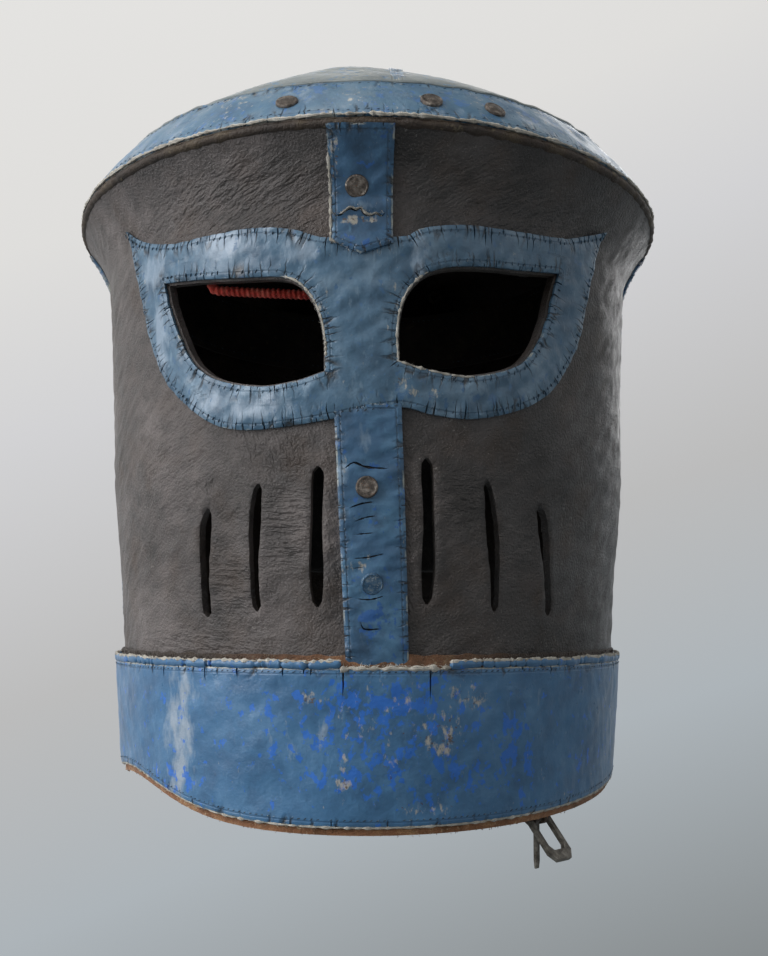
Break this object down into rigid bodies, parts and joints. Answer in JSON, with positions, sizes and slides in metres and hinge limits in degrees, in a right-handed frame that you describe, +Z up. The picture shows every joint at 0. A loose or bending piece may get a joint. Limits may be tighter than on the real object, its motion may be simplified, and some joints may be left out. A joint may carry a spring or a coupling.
{
  "type": "american football helmet",
  "caption": "Early full-face football helmet in riveted harness leather: low oval crown, blue goggle trim, breathing slits, deep chin band, head suspension and a neck buckle",
  "frame": {"origin": "the head seat: the underside of the head suspension straps where they cross, which rests on top of the wearer's head", "axes": "+Z up, -Y the way the wearer faces, +X to the right as seen by someone facing the mask"},
  "size_m": [0.246, 0.283, 0.3181],
  "materials": {
    "harness_leather": "vegetable-tanned harness leather, dark brown-grey, pebbled and cracked",
    "blue_leather": "leather painted steel blue, cracked and scuffed",
    "crown_leather": "leather painted cream, greyed",
    "welt_leather": "rolled brown leather piping",
    "suede": "rust-brown split suede",
    "rivet_steel": "aged plated steel, brown patina",
    "lining_leather": "dark brown lining leather",
    "felt": "dense pressed felt, near black",
    "red_cord": "twisted red cotton cord",
    "strap_leather": "dark brown strap leather",
    "buckle_steel": "dull oxidised steel"
  },
  "bodies": {
    "helmet": {"face_shell": "harness_leather", "back_shell": "harness_leather", "crown_panel_left": "crown_leather", "crown_panel_right": "crown_leather", "crown_welt": "welt_leather", "brow_band": "blue_leather", "crown_ridge_strap": "crown_leather", "goggle_trim": "blue_leather", "forehead_strip": "blue_leather", "nose_strip": "blue_leather", "rear_strip": "blue_leather", "seam_strap_left": "blue_leather", "seam_strap_right": "blue_leather", "chin_band_backing": "suede", "nape_band_backing": "suede", "chin_band": "blue_leather", "nape_band": "blue_leather", "forehead_rivet": "rivet_steel", "nose_rivets": "rivet_steel", "rear_rivets": "rivet_steel", "seam_rivets": "rivet_steel", "brow_rivets": "rivet_steel", "wall_burrs": "rivet_steel", "crown_burrs": "rivet_steel", "headband": "lining_leather", "forehead_pad": "felt", "rear_pad": "felt", "cheek_pad_left": "felt", "cheek_pad_right": "felt", "nape_pad": "felt", "suspension_cross_strap": "lining_leather", "suspension_long_strap": "lining_leather", "crown_pad": "felt", "lacing_cord": "red_cord", "neck_strap": "strap_leather", "tab_rivet": "rivet_steel", "strap_rivet": "rivet_steel"},
    "tab": {"buckle_tab": "strap_leather"},
    "frame": {"buckle_frame": "buckle_steel"},
    "prong": {"buckle_prong": "buckle_steel"}
  },
  "joints": [
    {"name": "tab_swivel", "type": "hinge", "parent": "helmet", "child": "tab", "pos_m": [0.0655, -0.07864, -0.26], "axis": [-0.7358, 0.6731, 0.0737], "range_deg": [-15, 15]},
    {"name": "frame_hinge", "type": "hinge", "parent": "tab", "child": "frame", "pos_m": [0.0623, -0.07571, -0.28074], "axis": [0.675, 0.7378, 0], "range_deg": [-35, 75]},
    {"name": "prong_hinge", "type": "hinge", "parent": "frame", "child": "prong", "pos_m": [0.0623, -0.07571, -0.28074], "axis": [0.675, 0.7378, 0], "range_deg": [-32, 40]}
  ]
}
